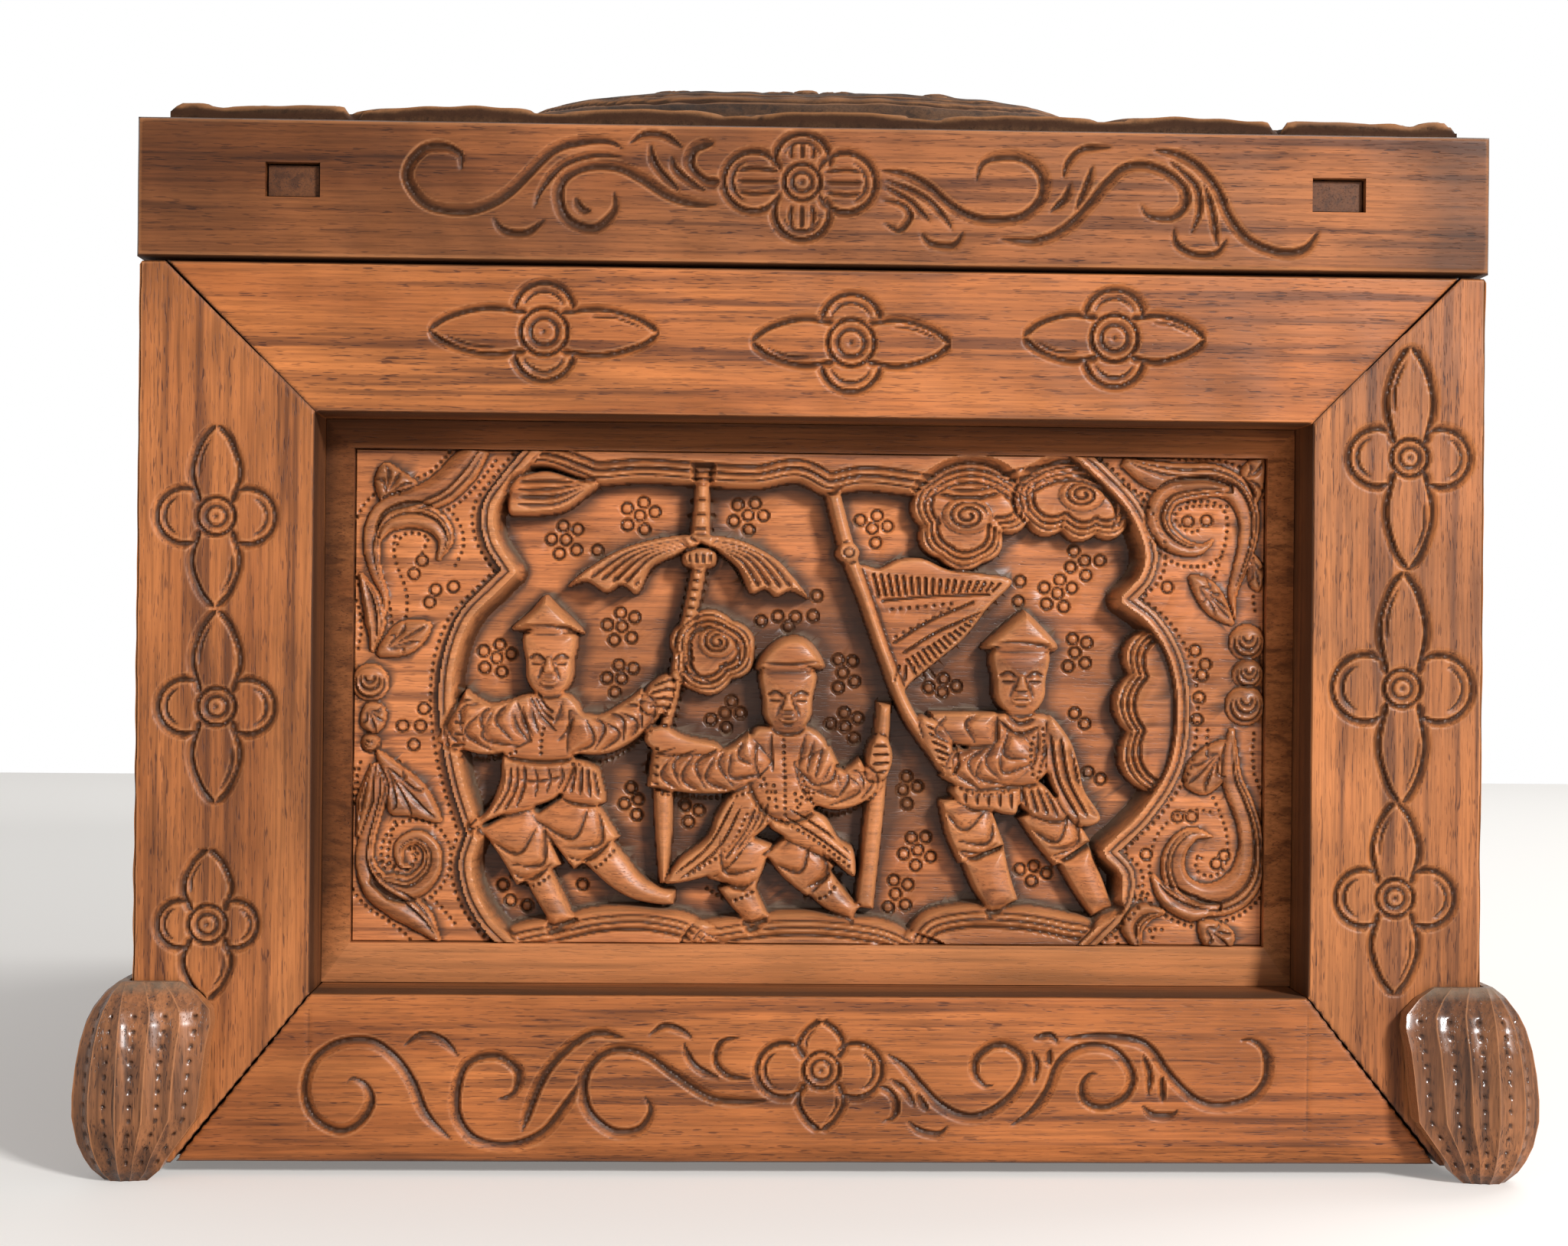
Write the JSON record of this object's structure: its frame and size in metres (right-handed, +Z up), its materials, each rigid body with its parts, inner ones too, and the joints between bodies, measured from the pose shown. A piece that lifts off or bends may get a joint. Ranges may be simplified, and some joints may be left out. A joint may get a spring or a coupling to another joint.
{
  "type": "carved wooden box",
  "caption": "Carved hardwood box with mitred frames, relief panels, ribbed corner feet and a hinged lid with a domed carved top.",
  "frame": {"origin": "on the floor plane under the middle of the box", "axes": "+Z up, -Y towards the carved end in the picture, +X towards the hinged back, so the lid opens at -X"},
  "size_m": [0.2164, 0.2764, 0.1739],
  "materials": {
    "frame_rail": "satin, orange-brown with dark pores",
    "frame_stile": "satin, orange-brown with dark pores",
    "carved_panel": "waxed relief carving",
    "foot_wood": "dark waxed wood",
    "lid_rail": "satin, worn",
    "lid_carving": "dusty dark carving",
    "inner_board": "plain unfinished wood",
    "hinge_brass": "aged",
    "hinge_steel": "dull"
  },
  "bodies": {
    "box_body": {"front_top_rail": "frame_rail", "front_bottom_rail": "frame_rail", "front_stile_a": "frame_stile", "front_stile_b": "frame_stile", "front_carved_panel": "carved_panel", "right_top_rail": "frame_rail", "right_bottom_rail": "frame_rail", "right_stile_a": "frame_stile", "right_stile_b": "frame_stile", "right_carved_panel": "carved_panel", "back_top_rail": "frame_rail", "back_bottom_rail": "frame_rail", "back_stile_a": "frame_stile", "back_stile_b": "frame_stile", "back_carved_panel": "carved_panel", "left_top_rail": "frame_rail", "left_bottom_rail": "frame_rail", "left_stile_a": "frame_stile", "left_stile_b": "frame_stile", "left_carved_panel": "carved_panel", "bottom_board": "inner_board", "foot_back_right": "foot_wood", "foot_back_left": "foot_wood", "foot_front_left": "foot_wood", "foot_front_right": "foot_wood", "hinge_1_body_leaf": "hinge_brass", "hinge_1_pin": "hinge_steel", "hinge_1_body_screw_1": "hinge_steel", "hinge_1_body_screw_2": "hinge_steel", "hinge_2_body_leaf": "hinge_brass", "hinge_2_pin": "hinge_steel", "hinge_2_body_screw_1": "hinge_steel", "hinge_2_body_screw_2": "hinge_steel"},
    "lid": {"lid_end_rail_front": "lid_rail", "lid_end_rail_back": "lid_rail", "lid_long_rail_left": "lid_rail", "lid_long_rail_right": "lid_rail", "lid_lining_board": "inner_board", "lid_carved_top": "lid_carving", "hinge_1_lid_leaf": "hinge_brass", "hinge_1_lid_screw_1": "hinge_steel", "hinge_1_lid_screw_2": "hinge_steel", "hinge_2_lid_leaf": "hinge_brass", "hinge_2_lid_screw_1": "hinge_steel", "hinge_2_lid_screw_2": "hinge_steel"}
  },
  "joints": [
    {"name": "lid_hinge", "type": "hinge", "parent": "box_body", "child": "lid", "pos_m": [0.1021, 0, 0.1348], "axis": [0, 1, 0], "range_deg": [0, 180]}
  ]
}
